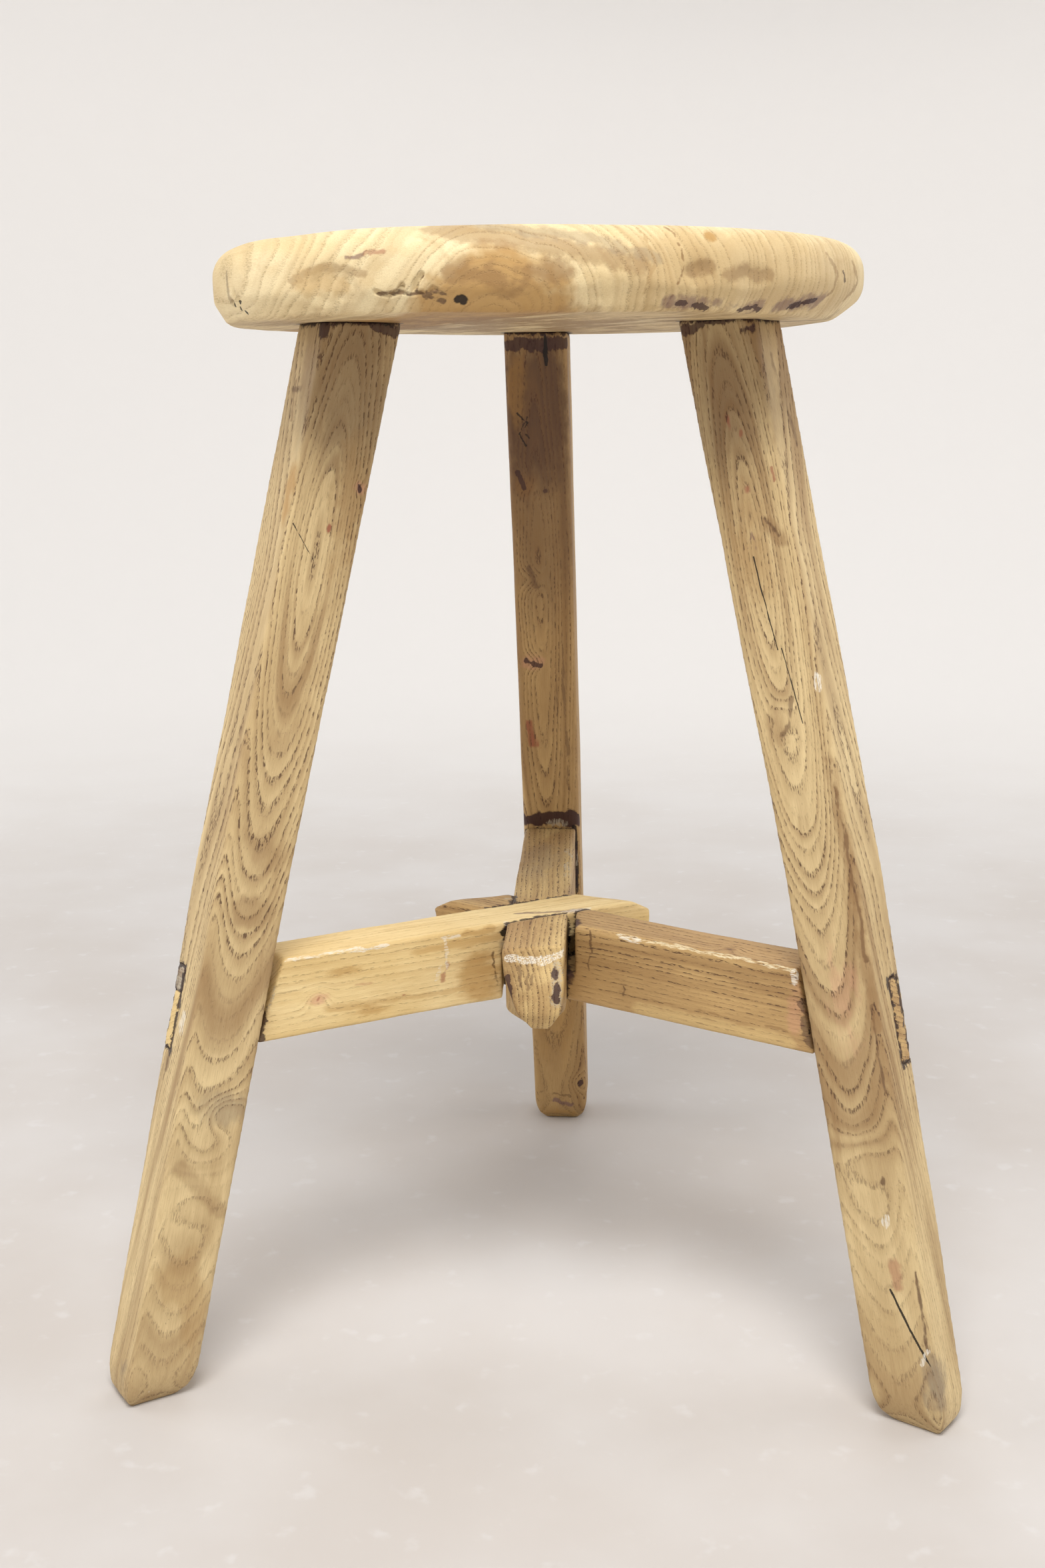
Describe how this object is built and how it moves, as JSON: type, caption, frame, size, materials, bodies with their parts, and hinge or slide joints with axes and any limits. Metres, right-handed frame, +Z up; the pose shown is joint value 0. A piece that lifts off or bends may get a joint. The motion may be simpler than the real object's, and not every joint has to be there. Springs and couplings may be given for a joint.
{
  "type": "stool",
  "caption": "Rustic round-seated wooden stool on splayed legs, braced low down by stretchers that cross and interlock.",
  "frame": {"origin": "middle of the stool's outline box, on the floor", "axes": "+Z up, -Y towards the side the two front legs and the free end of the back stretcher face, +X to the right seen from there"},
  "size_m": [0.3948, 0.4098, 0.518],
  "materials": {
    "seat": "sanded bare elm, worn and stained",
    "leg_left": "sanded bare elm, worn and stained",
    "leg_right": "sanded bare elm, worn and stained",
    "leg_back": "sanded bare elm, worn and stained",
    "stretcher_left": "sanded bare elm, worn and stained",
    "stretcher_right": "sanded bare elm, worn and stained",
    "stretcher_back": "sanded bare elm, worn and stained",
    "slip_left": "sanded bare elm, worn and stained"
  },
  "bodies": {
    "root": {"seat": "seat", "leg_left": "leg_left", "leg_right": "leg_right", "leg_back": "leg_back", "stretcher_left": "stretcher_left", "stretcher_right": "stretcher_right", "stretcher_back": "stretcher_back", "slip_left": "slip_left"}
  },
  "joints": []
}
